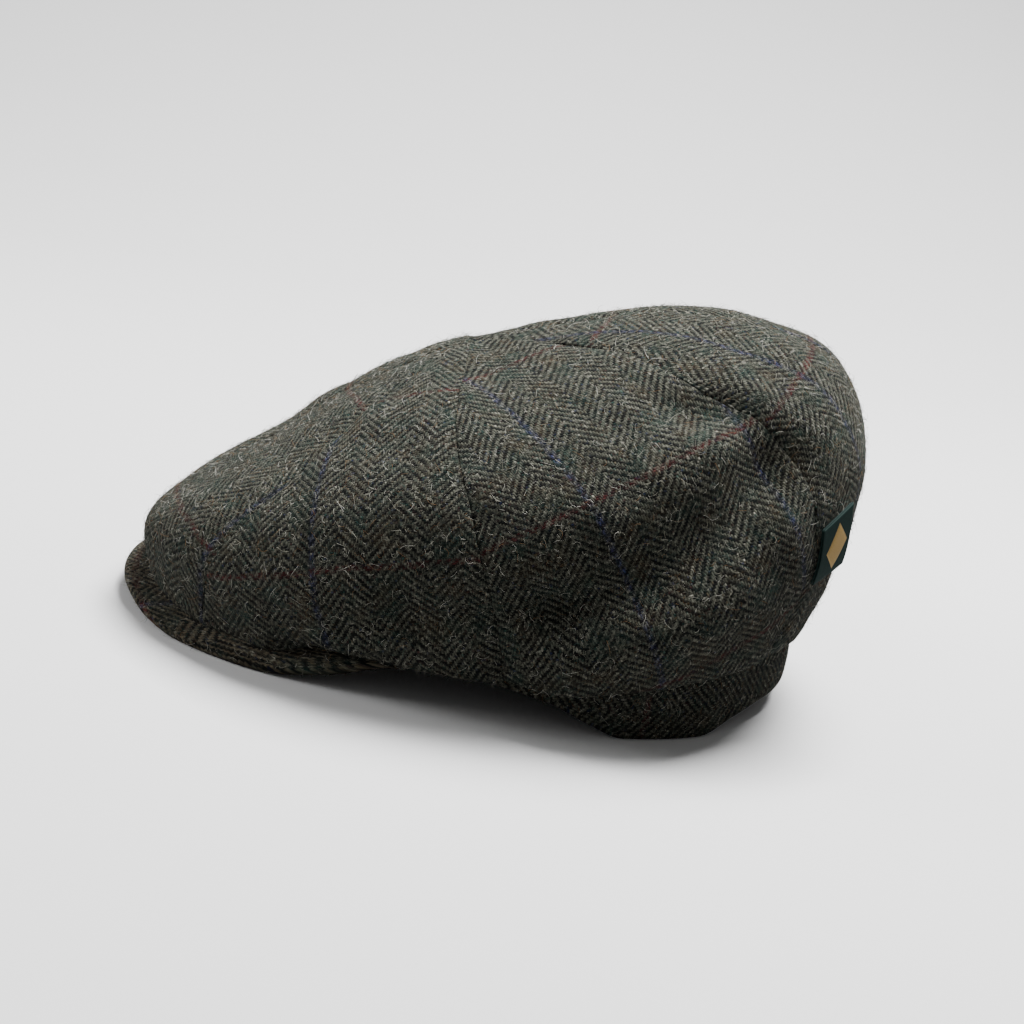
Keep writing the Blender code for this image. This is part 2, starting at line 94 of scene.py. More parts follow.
# Rings of the crown from its top point to the fold above the band. Front, middle and rear are
# places along the cap, as shares of CROWN_REACH, CROWN_REACH and CROWN_REAR. Side is a share of
# CROWN_HALF_WIDTH, and the heights are shares of CROWN_HEIGHT. Square makes a ring fuller.
Ring = namedtuple("Ring", "front front_height side side_height middle rear rear_height square")
RINGS = (
    Ring(-0.257, 0.825, 0.00, 0.825, -0.257, -0.321, 0.825, 1.00),
    Ring(-0.400, 0.735, 0.28, 0.790, -0.250, -0.070, 0.900, 1.00),
    Ring(-0.565, 0.615, 0.53, 0.752, -0.225, 0.250, 0.985, 0.98),
    Ring(-0.720, 0.472, 0.74, 0.680, -0.170, 0.560, 1.000, 0.96),
    Ring(-0.855, 0.368, 0.89, 0.585, -0.100, 0.830, 0.945, 0.94),
    Ring(-0.950, 0.290, 0.975, 0.445, -0.045, 0.970, 0.780, 0.93),
    Ring(-0.995, 0.220, 1.00, 0.320, -0.010, 1.000, 0.580, 0.93),
    Ring(-1.000, 0.160, 0.97, 0.215, 0.000, 0.975, 0.410, 0.94),
    Ring(-0.985, 0.108, 0.92, 0.120, 0.000, 0.920, 0.265, 0.93),
)
FRONT_POWER = 1.15           # how early a ring leaves its side height towards the front
REAR_POWER = 1.6             # the same towards the back
HEM_OUTER = len(RINGS)       # ring number of the fold's outer edge
HEM_INNER = len(RINGS) + 1   # ring number of the turned-in edge
SHOULDER = 3.0               # ring number where the seams bend over the shoulder
SIDE = 6.0                   # ring number of the widest bulge
SEAM_ROUND = 4               # above 2 keeps a panel level until close to its seams
SEAM_FADE = 1.5              # rings over which the seams grow deep from the top point and the hem
FOLD_FADE = 0.8              # rings over which the folds die out at the hem
FOLD_POINTS = 5              # places that a fold is worked out from
PANELS = 8

# Seams from the front to the back on one side, as angles in degrees from the front at four
# heights: at the top point, over the shoulder, at the widest bulge and at the hem.
Seam = namedtuple("Seam", "apex shoulder side hem")
SEAMS = (
    Seam(0.0, 0.0, 0.0, 0.0),
    Seam(45.0, 45.5, 41.5, 38.0),
    Seam(90.0, 84.0, 86.5, 90.0),
    Seam(148.0, 139.0, 146.0, 142.0),
    Seam(180.0, 180.0, 180.0, 180.0),
)

# Soft folds and dents of the crown. Side is 1 for the wearer's left and -1 for the right. A fold
# runs from one place to another, each given as a seam number from the front and a ring number.
# Breadth and depth are shares of CROWN_HALF_WIDTH, and a depth below zero is a ridge.
Fold = namedtuple("Fold", "side turn_from ring_from turn_to ring_to breadth depth")
FOLDS = (
    Fold(1, 1.75, 6.3, 2.15, 5.8, 0.13, 0.046),
    Fold(1, 2.15, 5.7, 2.90, 4.4, 0.14, 0.078),
    Fold(1, 2.22, 6.9, 2.65, 6.3, 0.13, -0.028),
    Fold(1, 2.84, 3.1, 2.95, 3.6, 0.09, 0.042),
    Fold(1, 2.75, 3.9, 3.10, 3.6, 0.06, -0.018),
    Fold(1, 1.15, 4.0, 1.55, 6.0, 0.10, 0.012),
    Fold(1, 2.00, 7.2, 2.02, 8.8, 0.06, 0.015),
    Fold(-1, 1.60, 6.6, 2.60, 5.9, 0.16, 0.036),
    Fold(-1, 2.70, 5.2, 3.15, 4.0, 0.12, 0.028),
    Fold(-1, 2.20, 8.2, 2.70, 8.1, 0.12, -0.018),
    Fold(-1, 1.20, 4.4, 1.50, 6.2, 0.11, 0.016),
    Fold(-1, 3.30, 6.8, 3.80, 5.8, 0.13, 0.022),
    Fold(-1, 0.35, 5.8, 1.25, 3.2, 0.34, 0.036),
    Fold(1, 3.45, 7.0, 3.90, 6.4, 0.12, 0.018),
)

# Edges of the band round the head opening. Turn is in degrees from the front, and the heights
# are shares of BAND_HEIGHT. The band rests where its lower edge is at zero.
BandEdge = namedtuple("BandEdge", "turn lower upper bulge")
BAND_EDGES = (
    BandEdge(0.0, 0.36, 0.72, 0.0),
    BandEdge(42.0, 0.38, 0.68, 0.0),
    BandEdge(62.0, 0.42, 0.55, 0.0),
    BandEdge(82.0, 0.47, 0.60, 0.1),
    BandEdge(96.0, 0.37, 0.68, 0.5),
    BandEdge(106.0, 0.14, 0.77, 0.8),
    BandEdge(113.0, 0.00, 0.84, 0.9),
    BandEdge(131.0, 0.00, 0.89, 1.0),
    BandEdge(142.0, 0.17, 0.93, 0.5),
    BandEdge(154.0, 0.28, 0.97, 0.3),
    BandEdge(180.0, 0.31, 1.00, 0.3),
)

# Outer edge of the peak from its middle to its corner. Across is the share of the way round,
# height is a share of PEAK_ROOT_HEIGHT.
PeakEdge = namedtuple("PeakEdge", "across height")
PEAK_EDGES = (
    PeakEdge(0.00, 0.52),
    PeakEdge(0.20, 0.42),
    PeakEdge(0.38, 0.12),
    PeakEdge(0.50, 0.00),
    PeakEdge(0.72, 0.00),
    PeakEdge(0.88, 0.42),
    PeakEdge(1.00, 0.95),
)

# Number of faces, and the fine relief of the cloth, in metres.
PANEL_ROWS = 118
PANEL_COLUMNS = 56
SEAM_CROWDING = 0.55         # 0 spaces a panel's columns evenly, 1 crowds them most at its seams
BAND_ROWS = 14               # from the foot of the band's outer face to its top
BAND_COLUMNS = 420
PEAK_ROWS = 30               # from the root of the peak to its edge
PEAK_COLUMNS = 150
PEAK_EDGE_START = 0.8        # share of the way out where the peak's faces draw in to its round edge
BEND_STEPS = 9               # points of a rounded edge, with its two ends
CREASE_DEPTH = 0.00022       # how far the cloth rolls down into a seam
CREASE_WIDTH = 0.0018        # from the seam to where that roll starts
PUCKER_HEIGHT = 0.00014      # small waves of the cloth along a seam
PUCKER_LENGTH = 0.0105       # from one wave to the next
PUCKER_REACH = 0.0075        # how far from the seam the waves are seen
PUCKER_WANDER = 2.2          # how unevenly the waves are spaced
SWELL_HEIGHT = 0.00045       # soft unevenness all over
SWELL_LENGTH = 0.026
BAND_SWELL_HEIGHT = 0.0008   # the same on the band
BAND_SWELL_LENGTH = 0.034
BAND_SWELL_SEED = 71
RELIEF_START = 0.020         # from its tip, a panel's relief grows over this distance

# Weave of the cloth, in metres.
THREAD = 0.00082             # from one thread to the next
STRIPE_THREADS = 13.0        # threads in one stripe of the herringbone
RED_SPACING = 0.074          # from one red line to the next, along the warp
BLUE_SPACING = 0.064         # from one blue line to the next, across the warp

# Where each panel was cut from the cloth: how far its tip lies from the last blue and the last
# red line, in metres, and how many degrees its grain is turned.
Cut = namedtuple("Cut", "across along grain")
CUTS = (
    Cut(0.0231, 0.0244, 3.1),
    Cut(0.0394, 0.0295, -12.4),
    Cut(0.0210, 0.0403, -8.3),
    Cut(0.0080, 0.0240, -4.9),
    Cut(0.0240, 0.0240, 4.9),
    Cut(0.0160, 0.0403, 8.3),
    Cut(0.0360, 0.0295, 12.4),
    Cut(0.0280, 0.0244, -3.1),
)
BAND_CUT = Cut(0.010, 0.030, 0.0)
PEAK_CUT = Cut(0.020, 0.024, 0.0)
BAND_YARNS = 9.0             # gives the band yarns of its own, as its number gives each panel
PEAK_YARNS = 10.0            # the same for the peak

# A curved panel is eased flat on a coarse grid, and its fine grid follows that.
FLAT_ROWS = 40
FLAT_COLUMNS = 20
FLAT_ROUNDS = 500
FLAT_HASTE = 1.6             # above 1 makes each round overshoot, so that fewer are needed

# Ribbon and raised lozenge of the label. Shares are of the label's length and height.
RIBBON_WALL = LABEL_WALL * 0.34   # one of its two layers
RIBBON_BEND = 0.95           # share of the length where the ribbon starts to fold over
RIB_SPACING = 0.00055
MOTIF_MIDDLE = 0.52
MOTIF_LENGTH = 0.34
MOTIF_HEIGHT = 0.40
MOTIF_RISE = 0.00032         # how far it stands out, in metres
MOTIF_POINTS = 19
MOTIF_STITCHES = 5.0         # from its middle to its edge

# Loose wool on each piece: number of hairs, and the length in metres of the longest.
HAIRS_ON_PANEL = 3600
HAIRS_ON_BAND = 3000
HAIRS_ON_PEAK = 2000
HAIR_LENGTH = 0.0060
HAIR_RADIUS = 0.000064
HAIR_STEPS = 4
HAIR_SIDES = 3
HAIR_ARCH = 0.62             # share of a half wave that a hair follows as it rises and comes down
HAIR_CURL = 2.3              # spread of how far the hairs turn, in radians
HAIR_SINK = 0.00015          # how deep a hair's root lies in the cloth
HAIR_CLEARANCE = 0.0002      # no hair lies lower than this above the surface
BARE_ROWS = 6                # rows of a panel without hairs, at the top point and at the hem
PEAK_WOOL = slice(12, 52)    # rows of the peak with hairs: at and near its edge, above and below
PANEL_WOOL_SEED = 100
BAND_WOOL_SEED = 200
PEAK_WOOL_SEED = 300


def smooth_curve(places, values, wanted):
    """Values at the wanted places on a smooth curve through the given ones."""
    places = np.asarray(places, float)
    values = np.asarray(values, float)
    wanted = np.clip(np.asarray(wanted, float), places[0], places[-1])
    steps = np.diff(values) / np.diff(places)
    slopes = np.zeros_like(values)
    level = steps[:-1] * steps[1:] > 0.0
    both = np.where(level, steps[:-1] + steps[1:], 1.0)
    slopes[1:-1] = np.where(level, 2.0 * steps[:-1] * steps[1:] / both, 0.0)
    index = np.clip(np.searchsorted(places, wanted, side="right") - 1, 0, len(places) - 2)
    width = places[index + 1] - places[index]
    share = (wanted - places[index]) / width
    return (values[index] * (1 + 2 * share) * (1 - share) ** 2
            + values[index + 1] * (3 - 2 * share) * share ** 2
            + slopes[index] * width * share * (1 - share) ** 2
            + slopes[index + 1] * width * (share - 1) * share ** 2)


def signed_power(value, power):
    return np.sign(value) * np.abs(value) ** power


def table_curve(table, place, column, wanted):
    """One column of a table as a smooth curve over another column."""
    return smooth_curve([getattr(row, place) for row in table],
                        [getattr(row, column) for row in table], wanted)


def from_front(angle):
    """Angle from the front, alike on both sides."""
    return np.abs((angle + math.pi) % (2 * math.pi) - math.pi)


def same_shape(*values):
    return np.broadcast_arrays(*[np.asarray(value, float) for value in values])


def unit(vectors):
    """The same directions, each with a length of one."""
    return vectors / np.maximum(np.linalg.norm(vectors, axis=-1, keepdims=True), 1e-12)


def head_oval(angle, outward):
    """Point on the head opening's outline, moved outward by a distance."""
    across = (HEAD_HALF_WIDTH + outward) * np.sin(angle)
    along = -(HEAD_HALF_LENGTH + outward) * np.cos(angle)
    return across, along


def band_edge(angle, column):
    """One column of BAND_EDGES at angles in radians from the front, alike on both sides."""
    return table_curve(BAND_EDGES, "turn", column, np.degrees(from_front(angle)))


def peak_point(across, out):
    """Point on the peak's underside. Across runs from -1 to 1, out from 0 at the band to 1."""
    across, out = same_shape(across, out)
    root_angle = across * math.radians(PEAK_CORNER)
    root_x, root_y = head_oval(root_angle, BAND_WALL + GAP)
    corner_y = head_oval(math.radians(PEAK_CORNER), BAND_WALL + GAP)[1]
    edge_angle = across * math.pi / 2
    edge_x = PEAK_HALF_WIDTH * signed_power(np.sin(edge_angle), PEAK_FULLNESS)
    edge_y = corner_y - (PEAK_REACH + corner_y) * np.abs(np.cos(edge_angle)) ** PEAK_FULLNESS
    edge_z = PEAK_ROOT_HEIGHT * table_curve(PEAK_EDGES, "across", "height", np.abs(across))
    x = root_x + (edge_x - root_x) * out
    y = root_y + (edge_y - root_y) * out
    z = PEAK_ROOT_HEIGHT + (edge_z - PEAK_ROOT_HEIGHT) * out ** PEAK_DROOP
    return np.stack([x, y, np.maximum(z, 0.0)], axis=-1)


def band_share(turn):
    """0 where the hem lies on the peak, 1 where it lies on the band, at angles from the front."""
    start, end = math.radians(PEAK_CORNER - CORNER_START), math.radians(PEAK_CORNER + CORNER_END)
    share = np.clip((turn - start) / (end - start), 0.0, 1.0)
    return share * share * (3 - 2 * share)


def hem_point(angle, inner):
    """Turned-in edge of the crown: over the peak in front, on the band at the sides and back."""
    side = np.sign(np.sin(angle))
    turn = from_front(angle)
    across = np.clip(turn / math.radians(PEAK_CORNER + CORNER_SPREAD), 0.0, 1.0)
    depth = np.linalg.norm(peak_point(across, 1.0) - peak_point(across, 0.0), axis=-1)
    inset = PEAK_SHOWN * (1.0 - (1.0 - SHOWN_AT_CORNER) * across ** 2) + HEM_WIDTH * inner
    shown = inset / np.maximum(depth, 2 * PEAK_SHOWN)
    share = band_share(turn)
    on_peak = peak_point(across, (1.0 - shown) * (1.0 - share))
    on_peak[..., 2] += PEAK_WALL + HEM_CLEARANCE + CORNER_RISE * 4 * share * (1 - share)
    outward = BAND_WALL + GAP - inner * (BAND_WALL + GAP)
    band_x, band_y = head_oval(turn, outward)
    band_top = band_edge(turn, "upper") * BAND_HEIGHT
    on_band = np.stack([band_x, band_y, band_top + HEM_CLEARANCE], axis=-1)
    share = share[..., None]
    point = on_peak * (1 - share) + on_band * share
    point[..., 0] *= np.where(side < 0, -1.0, 1.0)
    return point


def ring_point(ring, angle):
    """Point of one ring of the crown at angles in radians from the front."""
    forward = np.cos(angle)
    ahead = forward > 0
    middle = ring.middle * CROWN_REACH
    front = ring.front * CROWN_REACH - middle
    rear = ring.rear * CROWN_REAR - middle
    x = ring.side * CROWN_HALF_WIDTH * signed_power(np.sin(angle), ring.square)
    y = middle + np.where(ahead, front, rear) * np.abs(forward) ** ring.square
    end_height = np.where(ahead, ring.front_height, ring.rear_height)
    power = np.where(ahead, FRONT_POWER, REAR_POWER)
    rise = (end_height - ring.side_height) * np.abs(forward) ** power
    return np.stack([x, y, CROWN_HEIGHT * (ring.side_height + rise)], axis=-1)


def seam_angle(turn, ring):
    """Angle from the front, in radians, for places given in seams round from the front."""
    turn = np.mod(turn, PANELS)
    mirrored = turn > PANELS / 2
    near = np.where(mirrored, PANELS - turn, turn)
    stations = (0.0, SHOULDER, SIDE, float(HEM_INNER))
    angles = np.stack([smooth_curve(stations, seam, ring) for seam in SEAMS], -1)
    before = np.clip(np.floor(near).astype(int), 0, len(SEAMS) - 2)
    first = np.take_along_axis(angles, before[..., None], -1)[..., 0]
    second = np.take_along_axis(angles, before[..., None] + 1, -1)[..., 0]
    angle = np.radians(first + (second - first) * (near - before))
    return np.where(mirrored, -angle, angle)


def smooth_crown(turn, ring):
    """Crown without folds at places given as a seam number and a ring number."""
    turn, ring = same_shape(turn, ring)
    controls = []
    for number in range(HEM_INNER + 1):
        angle = seam_angle(turn, np.full(turn.shape, float(number)))
        if number < HEM_OUTER:
            controls.append(ring_point(RINGS[number], angle))
        else:
            controls.append(hem_point(angle, float(number - HEM_OUTER)))
    controls.append(controls[-1])
    first = 2 * controls[0] - controls[1]
    controls = np.stack([first] + controls)
    index = np.clip(np.floor(ring).astype(int), 0, HEM_INNER - 1)
    share = (ring - index)[..., None]
    picked = [np.take_along_axis(controls, (index + k)[None, ..., None], axis=0)[0] for k in range(4)]
    before, here, after, beyond = picked
    curve = 0.5 * (2 * here + (after - before) * share
                   + (2 * before - 5 * here + 4 * after - beyond) * share ** 2
                   + (3 * here - before - 3 * after + beyond) * share ** 3)
    straight = here + (after - here) * share
    return np.where((ring >= HEM_OUTER)[..., None], straight, curve)


def crown_normal(turn, ring):
    """Outward direction of the smooth crown."""
    step = 0.02
    low, high = np.maximum(ring - step, step / 2), np.minimum(ring + step, HEM_INNER)
    down = smooth_crown(turn, high) - smooth_crown(turn, low)
    around = smooth_crown(turn + step, ring) - smooth_crown(turn - step, ring)
    return unit(np.cross(down, around))


def fold_depth(points):
    """How far the folds push the cloth in at points of the smooth crown."""
    depth = np.zeros(points.shape[:-1])
    for fold in FOLDS:
        turns = np.linspace(fold.turn_from, fold.turn_to, FOLD_POINTS)
        rings = np.linspace(fold.ring_from, fold.ring_to, FOLD_POINTS)
        path = smooth_crown(turns * fold.side, rings)
        nearest = np.full(depth.shape, np.inf)
        for start, end in zip(path[:-1], path[1:]):
            run = end - start
            share = np.clip((points - start) @ run / (run @ run), 0.0, 1.0)
            away = np.linalg.norm(points - start - share[..., None] * run, axis=-1)
            nearest = np.minimum(nearest, away)
        spread = nearest / (fold.breadth * CROWN_HALF_WIDTH)
        depth += fold.depth * CROWN_HALF_WIDTH * np.exp(-spread ** 2)
    return depth


def crown_surface(turn, ring):
    """Outer face of the crown with its seams and folds, and its outward direction."""
    turn, ring = same_shape(turn, ring)
    points = smooth_crown(turn, ring)
    normal = crown_normal(turn, ring)
    over_panel = 1.0 - np.abs(2.0 * np.mod(turn, 1.0) - 1.0) ** SEAM_ROUND
    to_hem = HEM_OUTER - ring
    fade = np.clip(ring / SEAM_FADE, 0.0, 1.0) * np.clip(to_hem / SEAM_FADE, 0.0, 1.0)
    fold_fade = np.clip(to_hem / FOLD_FADE, 0.0, 1.0)
    lift = SEAM_DEPTH * (over_panel - 1.0) * fade - fold_depth(points) * fold_fade
    return points + normal * lift[..., None], normal


def soft_waves(points, length, seed):
    """Soft unevenness from about -1 to 1 at points, with waves of about the given length."""
    chance = np.random.default_rng(seed)
    total = np.zeros(points.shape[:-1])
    for _ in range(8):
        direction = chance.normal(size=3)
        direction *= 2 * math.pi / (length * chance.uniform(0.7, 1.5) * np.linalg.norm(direction))
        total += np.sin(points @ direction + chance.uniform(0, 2 * math.pi))
    return total / 3.0


def place_of_cap():
    """How far the cap's own axes are moved in the row frame."""
    low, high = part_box("peak")
    return np.array([(low.x + high.x) / 2, low.y + PEAK_REACH, 0.0])


CAP_PLACE = place_of_cap()


def run_length(points, axis):
    """Length along a grid of points in one of its directions, from its first row or column."""
    steps = np.linalg.norm(np.diff(points, axis=axis), axis=-1)
    start = np.zeros_like(np.take(steps, [0], axis=axis))
    return np.concatenate([start, np.cumsum(steps, axis=axis)], axis=axis)


def grid_normals(points, closed_columns=False):
    """Direction square to a grid of points, pointing to the side where its rows turn left."""
    if closed_columns:
        wrapped = np.concatenate([points[:, -1:], points, points[:, :1]], axis=1)
        around = wrapped[:, 2:] - wrapped[:, :-2]
    else:
        around = np.gradient(points, axis=1)
    return unit(np.cross(np.gradient(points, axis=0), around))


def grid_faces(rows, columns, closed_columns=False, closed_rows=False, first=0):
    """Four-sided faces of a grid of points numbered row by row."""
    row_spans = rows if closed_rows else rows - 1
    column_spans = columns if closed_columns else columns - 1
    row, column = np.meshgrid(np.arange(row_spans), np.arange(column_spans), indexing="ij")
    next_row, next_column = (row + 1) % rows, (column + 1) % columns
    corners = [row * columns + column, next_row * columns + column,
               next_row * columns + next_column, row * columns + next_column]
    return np.stack(corners, axis=-1).reshape(-1, 4) + first


def add_object(name, data):
    item = bpy.data.objects.new(name, data)
    bpy.context.scene.collection.objects.link(item)
    return item


def add_mesh(name, points, faces, material):
    """Smooth object of one material."""
    data = bpy.data.meshes.new(name)
    data.from_pydata(points.reshape(-1, 3).tolist(), [], [list(f) for f in faces])
    data.update()
    data.materials.append(material)
    data.shade_smooth()
    return add_object(name, data)


def make_piece(name, points, faces, material, place=None, tint=None):
    """Piece from points in the cap's own axes, with its place on the cloth or its hairs' tint."""
    piece = add_mesh(name, points + CAP_PLACE, faces, material)
    for label, kind, field, values in (("cloth_place", "FLOAT_VECTOR", "vector", place),
                                       ("hair_tint", "FLOAT", "value", tint)):
        if values is not None:
            kept = piece.data.attributes.new(label, kind, "POINT")
            kept.data.foreach_set(field, values.reshape(-1).astype(np.float32))
    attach(piece, "root")
    return piece


def shell_faces(rows, columns):
    """Faces of a closed shell from an outer and an inner grid with the same rows and columns."""
    outer = grid_faces(rows, columns)
    inner = grid_faces(rows, columns, first=rows * columns)[:, ::-1]
    grid = np.arange(rows * columns).reshape(rows, columns)
    rims = []
    for line, flip in ((grid[0], True), (grid[-1], False), (grid[:, 0], False), (grid[:, -1], True)):
        other = line + rows * columns
        rim = np.stack([line[:-1], other[:-1], other[1:], line[1:]], axis=-1)
        rims.append(rim[:, ::-1] if flip else rim)
    return np.concatenate([outer, inner] + rims)


def make_shell(name, outer, inner, place, material):
    """Closed piece between an outer and an inner grid of points."""
    both = np.concatenate([outer.reshape(-1, 3), inner.reshape(-1, 3)])
    places = np.concatenate([place.reshape(-1, 3)] * 2)
    return make_piece(name, both, shell_faces(*outer.shape[:2]), material, places)


def panel_grid(number):
    """Rings and seam numbers of one panel's fine grid, closer together at its seams."""
    dense = np.linspace(0.0, HEM_INNER, 500)
    middle = smooth_crown(number + 0.5, dense)
    length = run_length(middle, 0)
    first = APEX_RADIUS / np.linalg.norm(smooth_crown(number + 0.5, 1.0) - smooth_crown(0.0, 0.0))
    start = np.interp(first, dense, length)
    rings = np.interp(np.linspace(start, length[-1], PANEL_ROWS), length, dense)
    even = np.linspace(0.0, 1.0, PANEL_COLUMNS)
    crowded = 0.5 - 0.5 * np.cos(math.pi * even)
    share = (1 - SEAM_CROWDING) * even + SEAM_CROWDING * crowded
    return rings[:, None], number + share[None, :]


def lay_flat(points):
    """Two lengths for each point of a grid, as if the cloth there was eased flat on a table."""
    around = run_length(points, 1)
    middle = points.shape[1] // 2
    along = run_length(points, 0)[:, middle][:, None]
    flat = np.stack([around - 0.5 * around[:, -1:], along + 0 * around], -1)
    lines = []
    for row_step, column_step in ((1, 0), (0, 1), (1, 1), (1, -1), (3, 0), (0, 3)):
        first = np.arange(points[..., 0].size).reshape(points.shape[:2])
        last_row, last_column = first.shape[0] - row_step, first.shape[1] - max(column_step, 0)
        first = first[:last_row, max(-column_step, 0):last_column]
        second = first + row_step * points.shape[1] + column_step
        lines.append(np.stack([first.ravel(), second.ravel()]))
    first, second = np.concatenate(lines, axis=1)
    solid, flat = points.reshape(-1, 3), flat.reshape(-1, 2)
    wanted = np.linalg.norm(solid[first] - solid[second], axis=-1)
    share = np.bincount(first, minlength=len(flat)) + np.bincount(second, minlength=len(flat))
    for _ in range(FLAT_ROUNDS):
        run = flat[second] - flat[first]
        size = np.maximum(np.linalg.norm(run, axis=-1), 1e-9)
        pull = run * ((size - wanted) / size * 0.5)[:, None]
        for axis in range(2):
            moved = (np.bincount(first, pull[:, axis], len(flat))
                     - np.bincount(second, pull[:, axis], len(flat)))
            flat[:, axis] += FLAT_HASTE * moved / share
    flat = flat.reshape(*points.shape[:2], 2)
    tip, foot = flat[0, middle], flat[-1].mean(0)
    run = (foot - tip) / np.linalg.norm(foot - tip)
    away = flat - tip
    return np.stack([away[..., 0] * run[1] - away[..., 1] * run[0], away @ run], -1)


def cloth_place(smooth, cut):
    """Place of each point on the cloth that the panel was cut from, its grain turned by the cut."""
    rows = np.unique(np.linspace(0, smooth.shape[0] - 1, FLAT_ROWS).astype(int))
    columns = np.unique(np.linspace(0, smooth.shape[1] - 1, FLAT_COLUMNS).astype(int))
    flat = lay_flat(smooth[np.ix_(rows, columns)])
    every_row, every_column = np.arange(smooth.shape[0]), np.arange(smooth.shape[1])
    part = [np.stack([np.interp(every_column, columns, line[:, axis]) for line in flat])
            for axis in (0, 1)]
    across, along = [np.stack([np.interp(every_row, rows, line) for line in side.T], axis=1)
                     for side in part]
    grain = math.radians(cut.grain)
    return (across * math.cos(grain) + along * math.sin(grain) + cut.across,
            along * math.cos(grain) - across * math.sin(grain) + cut.along)


def panel_relief(smooth, rings, seed):
    """Seam rolls, puckers and soft unevenness of a panel."""
    around = run_length(smooth, 1)
    along = run_length(smooth, 0)[:, PANEL_COLUMNS // 2][:, None] + 0 * around
    reach = np.minimum(around, around[:, -1:] - around)
    growth = np.clip(along / RELIEF_START, 0.0, 1.0)
    fade = growth * np.clip(HEM_OUTER - 0.3 - rings, 0.0, 1.0)
    roll = -CREASE_DEPTH * np.exp(-(reach / CREASE_WIDTH) ** 2)
    wander = PUCKER_WANDER * soft_waves(smooth, 0.03, seed)
    wave = np.sin(2 * math.pi * along / PUCKER_LENGTH + wander)
    strength = 0.6 + 0.4 * soft_waves(smooth, 0.05, seed + 1)
    pucker = PUCKER_HEIGHT * strength * wave * np.exp(-reach / PUCKER_REACH)
    swell = SWELL_HEIGHT * soft_waves(smooth, SWELL_LENGTH, seed + 2)
    return (roll + pucker) * fade + swell * growth


def build_panel(number, material):
    """Cloth of one crown panel, as a closed shell with its fine relief."""
    rings, turns = panel_grid(number)
    points, normal = crown_surface(turns, rings)
    smooth = smooth_crown(*np.broadcast_arrays(turns, rings))
    relief = panel_relief(smooth, rings, 10 * number)
    outer = points + normal * relief[..., None]
    inner = points - normal * CROWN_WALL
    across, along = cloth_place(smooth, CUTS[number])
    place = np.stack([across, along, np.full_like(across, number)], -1)
    piece = make_shell(f"crown_cloth_{number + 1}", outer, inner, place, material)
    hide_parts(f"crown_panel_{number + 1}")
    return outer, grid_normals(outer)


def rounded_profile(side_rows, end_rows):
    """Places round a wall's section: share of the height, and shares of the thickness out and up."""
    climb = np.linspace(0.0, 1.0, side_rows)
    bend = np.linspace(0.0, math.pi, end_rows + 2)[1:-1]
    height = np.concatenate([climb, np.ones(end_rows), climb[::-1], np.zeros(end_rows)])
    out = np.concatenate([np.ones(side_rows), np.cos(bend), -np.ones(side_rows), -np.cos(bend)])
    up = np.concatenate([np.zeros(side_rows), np.sin(bend), np.zeros(side_rows), -np.sin(bend)])
    return height[:, None], out[:, None], up[:, None]


def build_band(material):
    """Band with rounded edges, soft ridges and hollows."""
    height, out, up = rounded_profile(BAND_ROWS, 4)
    angle = np.linspace(0.0, 2 * math.pi, BAND_COLUMNS, endpoint=False)[None, :]
    half = BAND_WALL / 2
    lower = np.maximum(band_edge(angle, "lower") * BAND_HEIGHT, 0.0) + half
    upper = band_edge(angle, "upper") * BAND_HEIGHT - half
    level = lower + (upper - lower) * height
    bulge = BAND_BULGE * band_edge(angle, "bulge") * np.sin(math.pi * (1 - height) * BULGE_SPAN)
    middle = half + bulge
    x, y = head_oval(angle, middle)
    waves = soft_waves(np.stack([x, y, level], -1), BAND_SWELL_LENGTH, BAND_SWELL_SEED)
    middle = middle + BAND_SWELL_HEIGHT * waves * np.sin(math.pi * np.clip(height, 0.0, 1.0)) ** 0.5
    x, y = head_oval(angle, middle + half * out)
    points = np.stack([x, y, level + half * up], -1)
    length = run_length(points, 1)[BAND_ROWS - 1][None, :] + 0 * level
    place = np.stack([level + BAND_CUT.across, length + BAND_CUT.along,
                      np.full_like(level, BAND_YARNS)], -1)
    faces = grid_faces(*points.shape[:2], closed_columns=True, closed_rows=True)
    piece = make_piece("band_cloth", points, faces, material, place)
    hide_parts("band")
    shown = points[:BAND_ROWS]
    return shown, grid_normals(shown, closed_columns=True)


def build_peak(material):
    """Peak with a rounded edge, in cloth above and below."""
    across = np.linspace(-1.0, 1.0, PEAK_COLUMNS)[None, :]
    out = np.linspace(0.0, 1.0, PEAK_ROWS)[:, None]
    under = peak_point(across, out)
    half = PEAK_WALL / 2
    rim = peak_point(across, 1.0)
    inward = peak_point(across, 0.96) - rim
    inward[..., 2] = 0.0
    inward = unit(inward) * half
    upward = np.array([0.0, 0.0, half])
    pull = np.clip((out - PEAK_EDGE_START) / (1.0 - PEAK_EDGE_START), 0.0, 1.0)[..., None] ** 2
    middle = under + inward * pull + upward
    bend = np.linspace(math.pi / 2, -math.pi / 2, BEND_STEPS)[1:-1][:, None, None]
    edge = middle[-1:] - inward * np.cos(bend) + upward * np.sin(bend)
    points = np.concatenate([middle + upward, edge, (middle - upward)[::-1]])
    length = run_length(points, 0)
    place = np.stack([points[..., 0] + PEAK_CUT.across, length + PEAK_CUT.along,
                      np.full_like(length, PEAK_YARNS)], -1)
    faces = grid_faces(*points.shape[:2], closed_rows=True)
    left_side = np.arange(points.shape[0]) * PEAK_COLUMNS
    sides = [left_side.tolist(), (left_side + PEAK_COLUMNS - 1).tolist()[::-1]]
    piece = make_piece("peak_cloth", points, [list(f) for f in faces] + sides, material, place)
    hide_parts("peak")
    return points[PEAK_WOOL], grid_normals(points[PEAK_WOOL])


